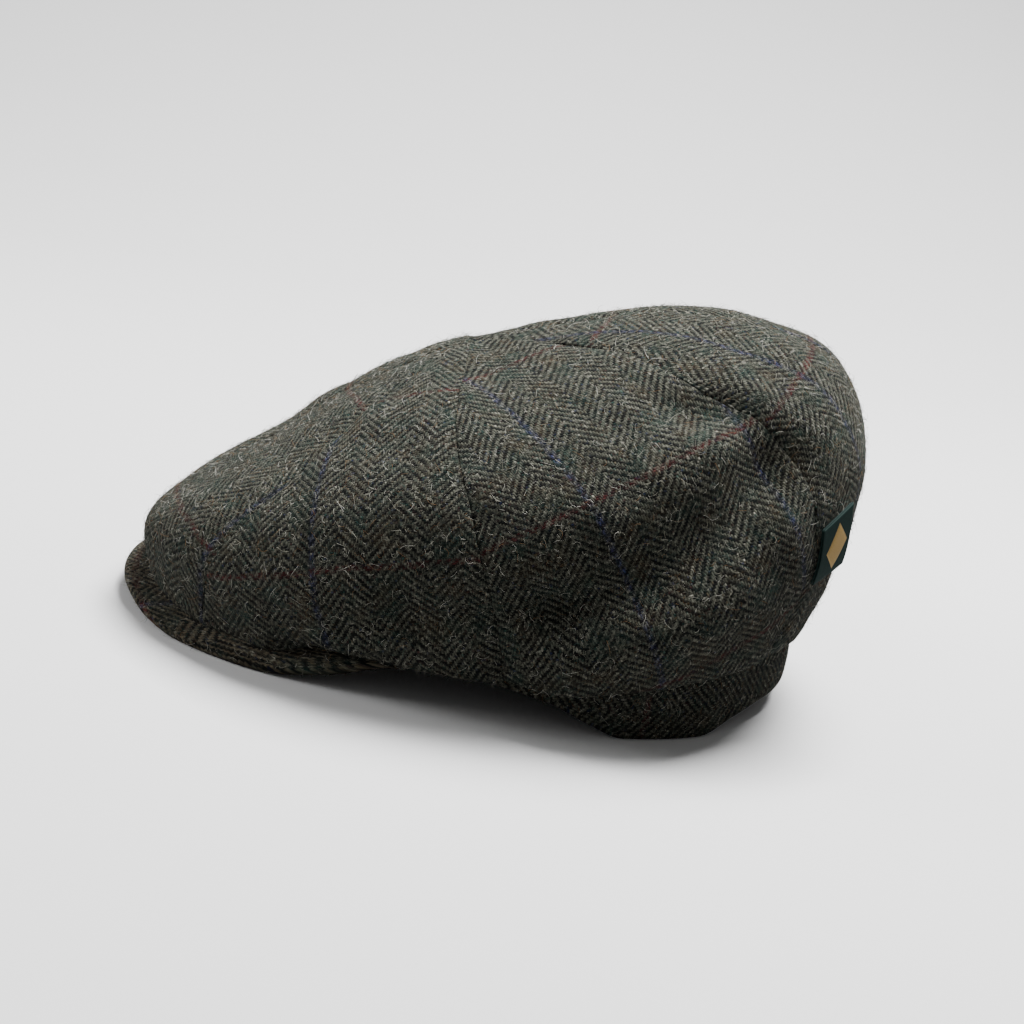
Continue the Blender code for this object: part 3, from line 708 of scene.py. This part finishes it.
def build_label(ribbon, thread):
    """Ribbon folded over and sewn into the rear left seam, with a small woven lozenge."""
    step = 0.05
    here = smooth_crown(LABEL_SEAM, LABEL_RING)
    ring_length = np.linalg.norm(smooth_crown(LABEL_SEAM, LABEL_RING + step) - here) / step
    turn_length = np.linalg.norm(smooth_crown(LABEL_SEAM + step, LABEL_RING) - here) / step

    def ribbon_point(out, along):
        ring = LABEL_RING + (along * LABEL_HEIGHT - out * LABEL_RISE) / ring_length
        turn = LABEL_SEAM + (LABEL_SETBACK + out * LABEL_LENGTH) / turn_length
        points, normal = crown_surface(turn, ring)
        lift = LABEL_CLEARANCE + LABEL_STAND * np.clip(out, 0.0, 1.0) ** LABEL_CURL
        return points + normal * lift[..., None], normal

    along = np.linspace(-0.5, 0.5, 25)[:, None]
    out = np.linspace(0.0, RIBBON_BEND, 24)
    bend = np.linspace(0.0, math.pi, BEND_STEPS)[1:-1]
    outs = np.concatenate([out, RIBBON_BEND + (1 - RIBBON_BEND) * np.sin(bend), out[::-1]])[None, :]
    lifts = np.concatenate([1.0 + 0 * out, 0.5 + 0.5 * np.cos(bend), 0 * out])[None, :]
    points, normal = ribbon_point(*np.broadcast_arrays(outs, along))
    outer = points + normal * (lifts * LABEL_WALL)[..., None]
    inner = points + normal * (RIBBON_WALL + lifts * (LABEL_WALL - 2 * RIBBON_WALL))[..., None]
    place = np.stack(np.broadcast_arrays(outs * LABEL_LENGTH, along * LABEL_HEIGHT, 0.0 * lifts), -1)
    piece = make_shell("label_cloth", outer, inner, place, ribbon)
    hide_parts("label")

    side = np.linspace(-1.0, 1.0, MOTIF_POINTS)
    rows, columns = np.meshgrid(side, side, indexing="ij")
    points, normal = ribbon_point(MOTIF_MIDDLE + MOTIF_LENGTH * (rows + columns) / 2,
                                  MOTIF_HEIGHT * (columns - rows) / 2)
    raised = LABEL_WALL + MOTIF_RISE * (1 - rows ** 8) * (1 - columns ** 8)
    place = np.stack([rows, columns, 0 * rows], -1)
    motif = make_shell("label_motif", points + normal * raised[..., None],
                       points + normal * LABEL_WALL, place, thread)


def hair_points(roots, normal, around, chance):
    """Centrelines of loose hairs that rise from the roots and curl over the cloth."""
    count = len(roots)
    side = np.cross(normal, around)
    heading = chance.uniform(0.0, 2 * math.pi, count)[:, None]
    forward = around * np.cos(heading) + side * np.sin(heading)
    sideways = np.cross(normal, forward)
    length = (HAIR_LENGTH * (0.25 + 0.75 * chance.random(count) ** 1.8))[:, None]
    curl = chance.normal(0.0, HAIR_CURL, count)[:, None]
    curl = np.where(np.abs(curl) < 0.15, 0.15, curl)
    rise = (chance.random(count) ** 2.2)[:, None] * 0.42 + 0.03
    share = np.linspace(0.0, 1.0, HAIR_STEPS + 1)[None, :]
    bend = curl * share
    ahead = length * np.sin(bend) / curl
    aside = length * (1 - np.cos(bend)) / curl
    lean = chance.uniform(0.5, 1.3, count)[:, None]
    up = length * rise * np.sin(np.minimum(share * lean, 1.0) * math.pi * HAIR_ARCH) - HAIR_SINK
    return (roots[:, None] + forward[:, None] * ahead[..., None]
            + sideways[:, None] * aside[..., None] + normal[:, None] * up[..., None])


def build_hairs(name, points, normal, count, material, seed):
    """Loose wool hairs scattered evenly over a grid of points of the cloth's outer face."""
    chance = np.random.default_rng(seed)
    across, down = points[:-1, 1:] - points[:-1, :-1], points[1:, :-1] - points[:-1, :-1]
    area = np.linalg.norm(np.cross(across, down), axis=-1)
    spot = chance.choice(area.size, count, p=(area / area.sum()).ravel())
    row, column = np.unravel_index(spot, area.shape)
    s, t = chance.random(count)[:, None], chance.random(count)[:, None]
    roots = points[row, column] + across[row, column] * s + down[row, column] * t
    out = normal[row, column]
    around = across[row, column]
    around = unit(around - out * np.sum(around * out, -1, keepdims=True))
    lines = hair_points(roots, out, around, chance)
    along = unit(np.gradient(lines, axis=1))
    first = unit(np.cross(along, out[:, None]))
    second = np.cross(along, first)
    taper = HAIR_RADIUS * (1.0 - 0.5 * np.linspace(0.0, 1.0, HAIR_STEPS))[None, :, None, None]
    turn = (np.arange(HAIR_SIDES) * 2 * math.pi / HAIR_SIDES)[:, None]
    around_hair = first[:, :, None] * np.cos(turn) + second[:, :, None] * np.sin(turn)
    skin = lines[:, :-1, None] + taper * around_hair[:, :-1]
    skin = np.concatenate([skin.reshape(count, -1, 3), lines[:, -1:]], axis=1)
    skin[..., 2] = np.maximum(skin[..., 2], HAIR_CLEARANCE)
    each = skin.shape[1]
    starts = each * np.arange(count)[:, None, None]
    sides = grid_faces(HAIR_STEPS, HAIR_SIDES, closed_columns=True)[None] + starts
    last, tip = each - 1 - HAIR_SIDES, each - 1
    tips = np.array([[last + side, tip, last + (side + 1) % HAIR_SIDES]
                     for side in range(HAIR_SIDES)])[None] + starts
    faces = sides.reshape(-1, 4).tolist() + tips.reshape(-1, 3).tolist()
    tint = np.repeat(chance.random(count), each)
    piece = make_piece(name, skin, faces, material, tint=tint)


class Wiring:
    """Adds nodes to a node tree and hands back their outputs, so that sums read as sums."""

    def __init__(self, tree):
        self.tree = tree

    def join(self, sockets, values):
        """Links each named socket to a node's output, or sets it to a plain value."""
        for name, value in values.items():
            if isinstance(value, bpy.types.NodeSocket):
                self.tree.links.new(value, sockets[name])
            else:
                sockets[name].default_value = value

    def node(self, kind, values, **settings):
        """Outputs of a new node with these settings and input values."""
        node = self.tree.nodes.new("ShaderNode" + kind)
        for name, setting in settings.items():
            setattr(node, name, setting)
        self.join(node.inputs, values)
        return node.outputs

    def maths(self, operation, *values):
        return self.node("Math", dict(enumerate(values)), operation=operation)[0]

    def times(self, total, *values):
        for value in values:
            total = self.maths("MULTIPLY", total, value)
        return total

    def plus(self, total, *values):
        for value in values:
            total = self.maths("ADD", total, value)
        return total

    def less(self, value):
        """What is left of 1 when the value is taken away."""
        return self.plus(1.0, self.times(value, -1.0))

    def blend(self, share, first, second):
        """A number that goes from the first to the second as share goes from 0 to 1."""
        return self.node("Mix", {0: share, 2: first, 3: second}, data_type="FLOAT")[0]

    def blend_colour(self, share, first, second, kind="MIX"):
        return self.node("Mix", {0: share, 6: first, 7: second}, data_type="RGBA", blend_type=kind)[2]

    def ease(self, value, low, high):
        """0 below low, 1 above high, and smooth between them."""
        return self.node("MapRange", {"Value": value, "From Min": low, "From Max": high},
                         interpolation_type="SMOOTHSTEP")[0]

    def vector(self, x, y, z):
        return self.node("CombineXYZ", {0: x, 1: y, 2: z})[0]

    def shifted(self, vector, number):
        """The vector moved by one number along each axis."""
        return self.node("VectorMath", {0: vector, 1: (number,) * 3}, operation="ADD")[0]

    def parts(self, vector):
        return self.node("SeparateXYZ", {0: vector})

    def noise(self, vector, scale, detail=2.0, roughness=0.5, output="Fac"):
        return self.node("TexNoise", {"Vector": vector, "Scale": scale, "Detail": detail,
                                      "Roughness": roughness})[output]

    def chance(self, x, y, z):
        """A random number from 0 to 1 for each whole-numbered place."""
        return self.node("TexWhiteNoise", {"Vector": self.vector(x, y, z)}, noise_dimensions="3D")["Value"]

    def stops(self, value, colours):
        """Colour that steps through the given list as value goes from 0 to 1."""
        node = self.tree.nodes.new("ShaderNodeValToRGB")
        ramp = node.color_ramp
        ramp.interpolation = "CONSTANT"
        ramp.elements.remove(ramp.elements[1])
        ramp.elements[0].color = colours[0]
        for number, shade in enumerate(colours[1:], 1):
            ramp.elements.new(number / len(colours)).color = shade
        self.join(node.inputs, {0: value})
        return node.outputs[0]

    def attribute(self, name, output):
        """What the mesh holds at each point under this name."""
        return self.node("Attribute", {}, attribute_name=name)[output]

    def bump(self, height, strength, distance):
        return self.node("Bump", {"Height": height, "Strength": strength, "Distance": distance})[0]


def new_group(name, inputs, outputs):
    """Node group with named inputs and outputs, each given as a name, kind and value."""
    group = bpy.data.node_groups.new(name, "ShaderNodeTree")
    for label, kind, value in inputs:
        socket = group.interface.new_socket(label, in_out="INPUT", socket_type=kind)
        if value is not None:
            socket.default_value = value
    for label, kind in outputs:
        group.interface.new_socket(label, in_out="OUTPUT", socket_type=kind)
    start = group.nodes.new("NodeGroupInput")
    end = group.nodes.new("NodeGroupOutput")
    return group, start.outputs, end.inputs


def colour(red, green, blue):
    """Colour from sRGB shares, as the light-linear value that materials take."""
    return tuple(((c + 0.055) / 1.055) ** 2.4 if c > 0.04045 else c / 12.92
                 for c in (red, green, blue)) + (1.0,)


# Yarns and wools of the cloth. The wools tint it in soft patches, the flecks single threads.
LIGHT_YARN = colour(0.325, 0.329, 0.290)
PEAK_YARN = colour(0.385, 0.355, 0.295)
DARK_YARN = colour(0.030, 0.040, 0.044)
RED_YARN = colour(0.290, 0.105, 0.110)
BLUE_YARN = colour(0.110, 0.130, 0.340)
GREEN_WOOL = colour(0.110, 0.215, 0.190)
BROWN_WOOL = colour(0.290, 0.225, 0.140)
PALE_FIBRE = colour(0.50, 0.50, 0.455)
DARK_FIBRE = colour(0.05, 0.055, 0.055)
FLECKS = (colour(0.12, 0.26, 0.24), colour(0.30, 0.25, 0.17), colour(0.12, 0.15, 0.27),
          colour(0.24, 0.14, 0.14), colour(0.62, 0.61, 0.56), colour(0.05, 0.06, 0.06))
HAIR_SHADES = (colour(0.76, 0.75, 0.70), colour(0.20, 0.21, 0.19), colour(0.84, 0.83, 0.79),
               colour(0.36, 0.36, 0.31), colour(0.60, 0.59, 0.53), colour(0.12, 0.13, 0.12),
               colour(0.28, 0.31, 0.28), colour(0.52, 0.40, 0.27), colour(0.08, 0.10, 0.10),
               colour(0.16, 0.30, 0.27))

# Unevenness of the cloth. A scale is the number of its spots to a metre, and a shift makes one
# pattern differ from the next. Drifts bend the threads by their reach in metres. Tints colour the
# patches where a noise climbs from low to high. Fibres are thin winding lines over the weave.
Drift = namedtuple("Drift", "scale reach")
DRIFTS = (Drift(70.0, 0.0014), Drift(520.0, 0.0009))
Tint = namedtuple("Tint", "wool shift scale low high share")
TINTS = (Tint(GREEN_WOOL, 0.0, 95.0, 0.46, 0.72, 0.50), Tint(BROWN_WOOL, 1.7, 90.0, 0.48, 0.74, 0.30))
Fibres = namedtuple("Fibres", "shift scale width")
PALE_FIBRES = (Fibres(3.0, 330.0, 0.020), Fibres(8.0, 470.0, 0.018), Fibres(21.0, 720.0, 0.022))
DARK_FIBRES = (Fibres(15.0, 400.0, 0.024), Fibres(33.0, 610.0, 0.024))


def herringbone_cloth():
    """Group for the tweed: broken herringbone of heathered yarns with a red and blue check."""
    group, given, made = new_group(
        "herringbone cloth",
        (("Place", "NodeSocketVector", None),
         ("Light Yarn", "NodeSocketColor", LIGHT_YARN),
         ("Dark Yarn", "NodeSocketColor", DARK_YARN)),
        (("Color", "NodeSocketColor"), ("Height", "NodeSocketFloat"), ("Roughness", "NodeSocketFloat")))
    w = Wiring(group)
    place = given["Place"]

    x, y, seed = w.parts(place)
    for drift in DRIFTS:
        aside, ahead, _ = w.parts(w.noise(place, drift.scale, 1.0, output="Color"))
        x = w.plus(x, w.times(w.plus(aside, -0.5), drift.reach))
        y = w.plus(y, w.times(w.plus(ahead, -0.5), drift.reach))
    u, v = w.times(x, 1 / THREAD), w.times(y, 1 / THREAD)
    thread_u, thread_v = w.maths("FLOOR", u), w.maths("FLOOR", v)
    in_u, in_v = w.maths("FRACT", u), w.maths("FRACT", v)

    # Twill over two threads and under two, which leans the other way in every second stripe.
    stripe = w.maths("FLOOR", w.times(u, 1 / STRIPE_THREADS))
    odd = w.times(w.maths("FRACT", w.times(stripe, 0.5)), 2.0)
    lean = w.plus(1.0, w.times(odd, -2.0))
    step = w.plus(w.times(thread_u, lean), thread_v, w.times(odd, 2.0))
    phase = w.times(w.maths("FRACT", w.times(step, 0.25)), 4.0)
    warp_up = w.maths("LESS_THAN", phase, 1.5)
    warp_run = w.times(w.plus(phase, in_v), 0.5)
    weft_run = w.times(w.plus(phase, -2.0, w.blend(odd, in_u, w.less(in_u))), 0.5)
    run = w.blend(warp_up, weft_run, warp_run)
    off_middle = w.plus(w.times(w.blend(warp_up, in_v, in_u), 2.0), -1.0)
    round_side = w.less(w.times(off_middle, off_middle))
    round_run = w.maths("SINE", w.times(run, math.pi))
    height = w.times(round_side, w.plus(0.35, w.times(round_run, 0.65)))

    # Chances for each length of yarn and for each crossing, and the fibres along the yarn.
    length = w.blend(warp_up, u, v)
    yarn = w.blend(warp_up, thread_v, thread_u)
    piece = w.maths("FLOOR", w.plus(w.times(length, 0.14), w.times(yarn, 0.377)))
    yarn_chance = w.chance(yarn, piece, w.plus(seed, w.times(warp_up, 40.0)))
    cell_chance = w.chance(thread_u, thread_v, seed)
    fleck_pick = w.chance(thread_v, thread_u, w.plus(seed, 7.0))
    fibre_u = w.blend(warp_up, w.times(u, 0.55), w.times(u, 3.4))
    fibre_v = w.blend(warp_up, w.times(v, 3.4), w.times(v, 0.55))
    fibre = w.noise(w.vector(fibre_u, fibre_v, seed), 1.0, 3.0, 0.6)
    mottle = w.noise(place, 260.0, 3.0, 0.6)

    # Colour: the two yarns, a little of each in the other, flecks, and patches of tinted wool.
    light, dark = given["Light Yarn"], given["Dark Yarn"]
    base = w.blend_colour(warp_up, dark, light)
    mixed_in = w.times(w.ease(yarn_chance, 0.55, 1.0), 0.35)
    base = w.blend_colour(mixed_in, base, w.blend_colour(warp_up, light, dark))
    flecked = w.times(w.ease(cell_chance, 0.72, 0.98), 0.60)
    base = w.blend_colour(flecked, base, w.stops(fleck_pick, FLECKS))
    for tint in TINTS:
        patches = w.ease(w.noise(w.shifted(place, tint.shift), tint.scale, 3.0), tint.low, tint.high)
        base = w.blend_colour(w.times(patches, tint.share), base, tint.wool)

    def check_line(value, spacing):
        """1 on the check's line and 0 away from it."""
        offset = w.maths("FRACT", w.plus(w.times(value, 1 / spacing), 0.5))
        away = w.times(w.maths("ABSOLUTE", w.plus(offset, -0.5)), spacing)
        return w.less(w.ease(away, THREAD * 0.6, THREAD * 2.2))

    worn = w.blend(w.ease(w.noise(place, 170.0, 2.0), 0.38, 0.60), 0.30, 1.0)
    blue = w.times(check_line(x, BLUE_SPACING), w.blend(warp_up, 0.20, 0.60), worn)
    red = w.times(check_line(y, RED_SPACING), w.blend(warp_up, 0.80, 0.35), worn)
    base = w.blend_colour(blue, base, BLUE_YARN)
    base = w.blend_colour(red, base, RED_YARN)

    # Shade: dark between the threads, uneven from yarn to yarn.
    shade = w.times(w.plus(-0.32, w.times(height, 0.75), w.times(fibre, 1.30), w.times(mottle, 0.50)),
                    w.plus(0.56, w.times(yarn_chance, 0.88)))
    shade = w.maths("MAXIMUM", shade, 0.06)
    tone = w.blend_colour(1.0, base, w.vector(shade, shade, shade), "MULTIPLY")

    def lines_of(layers):
        """1 on the fibres of these layers and 0 away from them."""
        most = 0.0
        for layer in layers:
            bent = w.noise(w.shifted(place, layer.shift), layer.scale, 1.5, 0.45)
            away = w.maths("ABSOLUTE", w.plus(bent, -0.5))
            most = w.maths("MAXIMUM", most, w.less(w.ease(away, layer.width * 0.4, layer.width)))
        return most

    pale_lines = lines_of(PALE_FIBRES)
    patchy = w.ease(w.noise(place, 420.0, 2.0), 0.40, 0.62)
    tone = w.blend_colour(w.times(pale_lines, patchy, w.blend(warp_up, 0.30, 0.80)), tone, PALE_FIBRE)
    dark_lines = lines_of(DARK_FIBRES)
    tone = w.blend_colour(w.times(dark_lines, w.blend(warp_up, 0.80, 0.45)), tone, DARK_FIBRE)

    w.join(made, {
        "Color": tone,
        "Height": w.plus(w.times(height, 0.75), w.times(fibre, 0.35), w.times(pale_lines, 0.4)),
        "Roughness": w.blend(fibre, 0.99, 0.86)})
    return group


def new_material(name):
    """Material with its wiring and the sockets of its shader."""
    material = bpy.data.materials.new(name)
    material.use_nodes = True
    shader = material.node_tree.nodes["Principled BSDF"]
    return material, Wiring(material.node_tree), shader.inputs


def tweed(name, group, light=LIGHT_YARN):
    """Tweed whose pattern follows the cloth's own threads."""
    material, w, shader = new_material(name)
    cloth = w.node("Group", {"Place": w.attribute("cloth_place", "Vector"), "Light Yarn": light,
                             "Dark Yarn": DARK_YARN}, node_tree=group)
    w.join(shader, {
        "Base Color": cloth["Color"],
        "Roughness": cloth["Roughness"],
        "Normal": w.bump(cloth["Height"], 0.9, 0.00040),
        "Sheen Weight": 0.05,
        "Sheen Roughness": 0.45,
        "Sheen Tint": (0.80, 0.80, 0.72, 1.0),
        "Specular IOR Level": 0.12})
    return material


def wool_hair():
    """Loose hairs, most of them pale and some dark or coloured."""
    material, w, shader = new_material("wool_hair")
    tint = w.attribute("hair_tint", "Fac")
    w.join(shader, {"Base Color": w.stops(tint, HAIR_SHADES), "Roughness": 0.75, "Specular IOR Level": 0.25})
    return material


def ribbon():
    """Dark green ribbon with fine crosswise ribs."""
    material, w, shader = new_material("label_ribbon_cloth")
    place = w.attribute("cloth_place", "Vector")
    ribs = w.maths("SINE", w.times(w.parts(place)[1], 2 * math.pi / RIB_SPACING))
    grain = w.noise(place, 1400.0, 3.0)
    w.join(shader, {
        "Base Color": w.blend_colour(grain, colour(0.040, 0.120, 0.110), colour(0.090, 0.210, 0.190)),
        "Normal": w.bump(w.plus(w.times(ribs, 0.5), grain), 0.5, 0.00012),
        "Roughness": 0.70,
        "Specular IOR Level": 0.25})
    return material


def gold_thread():
    """Shiny thread in close satin stitches."""
    material, w, shader = new_material("label_motif_thread")
    place = w.attribute("cloth_place", "Vector")
    stitches = w.maths("SINE", w.times(w.parts(place)[1], 2 * math.pi * MOTIF_STITCHES))
    w.join(shader, {
        "Base Color": w.blend_colour(w.noise(place, 14.0, 3.0), colour(0.62, 0.47, 0.22),
                                     colour(0.86, 0.72, 0.42)),
        "Normal": w.bump(stitches, 0.6, 0.00015),
        "Roughness": 0.42})
    return material


# Studio. The floor runs level under the cap and then sweeps up behind it.
FLOOR_COLOUR = colour(0.98, 0.98, 0.98)
FLOOR_RETURN = colour(0.56, 0.56, 0.56)   # shade of the light that the floor sends back up
FLOOR_START = 2.5            # its near edge, behind the camera
FLOOR_LENGTH = 5.5
FLOOR_HALF_WIDTH = 4.0
FLOOR_LEVEL = 0.55           # share of its length that is level
FLOOR_SWEEP = 3.0            # height of its far edge
FLOOR_CLEARANCE = 0.0002     # under the cap
FLOOR_ROWS = 40
EVEN_LIGHT = 0.17
Softbox = namedtuple("Softbox", "name place aim side watts")
SOFTBOXES = (
    Softbox("overhead_softbox", (-0.28, 0.25, 1.18), (0.0, 0.0, 0.06), 0.6, 46.0),
    Softbox("front_softbox", (0.10, -1.15, 0.45), (0.0, -0.08, 0.04), 0.5, 7.5),
)


def build_studio():
    """Pale floor, a weak even light, a strong softbox overhead and a weak one in front."""
    material, w, shader = new_material("studio_floor")
    seen = w.node("LightPath", {})["Is Camera Ray"]
    w.join(shader, {"Base Color": w.blend_colour(seen, FLOOR_RETURN, FLOOR_COLOUR), "Roughness": 0.95,
                    "Specular IOR Level": 0.0})
    reach = np.linspace(0.0, 1.0, FLOOR_ROWS)[:, None]
    sweep = np.clip((reach - FLOOR_LEVEL) / (1.0 - FLOOR_LEVEL), 0.0, 1.0)
    sides = np.array([[-FLOOR_HALF_WIDTH, FLOOR_HALF_WIDTH]])
    points = np.stack(np.broadcast_arrays(FLOOR_START - FLOOR_LENGTH * reach, sides,
                                          FLOOR_SWEEP * sweep ** 2 - FLOOR_CLEARANCE), -1)
    floor = add_mesh("studio_floor", points, grid_faces(FLOOR_ROWS, 2), material)

    world = bpy.data.worlds.new("studio_air")
    world.use_nodes = True
    air = world.node_tree.nodes["Background"].inputs
    Wiring(world.node_tree).join(air, {"Color": (1.0, 1.0, 1.0, 1.0), "Strength": EVEN_LIGHT})
    bpy.context.scene.world = world

    for box in SOFTBOXES:
        data = bpy.data.lights.new(box.name, "AREA")
        data.size = box.side
        data.energy = box.watts
        lamp = add_object(box.name, data)
        lamp.location = box.place
        lamp.rotation_euler = (Vector(box.aim) - Vector(box.place)).to_track_quat("-Z", "Y").to_euler()


# Camera fitted to the photograph: its height angle, its roll and its distance from the target.
CAMERA_HEIGHT_ANGLE = math.radians(17.0)
CAMERA_ROLL = math.radians(10.0)
CAMERA_DISTANCE = 0.800
CAMERA_TARGET = Vector((0.0, 0.0029, 0.062))
TARGET_ASIDE = 0.0038        # from the picture's middle to the target, in metres at the target
TARGET_ABOVE = 0.0106
FOCAL_PIXELS = 2105.0
PICTURE_PIXELS = 1024.0
SENSOR = 36.0


def build_camera():
    """Camera at the photograph's viewing angle, on the wearer's left."""
    back = Vector((math.cos(CAMERA_HEIGHT_ANGLE), 0.0, math.sin(CAMERA_HEIGHT_ANGLE)))
    right = Vector((0.0, 1.0, 0.0))
    up = back.cross(right)
    side = right * math.cos(CAMERA_ROLL) + up * math.sin(CAMERA_ROLL)
    above = up * math.cos(CAMERA_ROLL) - right * math.sin(CAMERA_ROLL)
    aim = CAMERA_TARGET + side * TARGET_ASIDE - above * TARGET_ABOVE
    data = bpy.data.cameras.new("photo_camera")
    data.sensor_width = SENSOR
    data.lens = FOCAL_PIXELS * SENSOR / PICTURE_PIXELS
    data.clip_start = 0.05
    camera = add_object("photo_camera", data)
    placing = Matrix((side, above, back)).transposed().to_4x4()
    placing.translation = aim + back * CAMERA_DISTANCE
    camera.matrix_world = placing
    bpy.context.scene.camera = camera


def build_looks():
    """Every piece of the cap with its loose wool, then the studio and the camera."""
    weave = herringbone_cloth()
    crown = tweed("crown_tweed_cloth", weave)
    band = tweed("band_tweed_cloth", weave)
    peak = tweed("peak_tweed_cloth", weave, PEAK_YARN)
    hair = wool_hair()
    for number in range(PANELS):
        points, normal = build_panel(number, crown)
        woolly = slice(BARE_ROWS, -BARE_ROWS)
        build_hairs(f"crown_wool_{number + 1}", points[woolly], normal[woolly], HAIRS_ON_PANEL, hair,
                    PANEL_WOOL_SEED + number)
    points, normal = build_band(band)
    build_hairs("band_wool", points, normal, HAIRS_ON_BAND, hair, BAND_WOOL_SEED)
    points, normal = build_peak(peak)
    build_hairs("peak_wool", points, normal, HAIRS_ON_PEAK, hair, PEAK_WOOL_SEED)
    build_label(ribbon(), gold_thread())
    build_studio()
    build_camera()


build_looks()
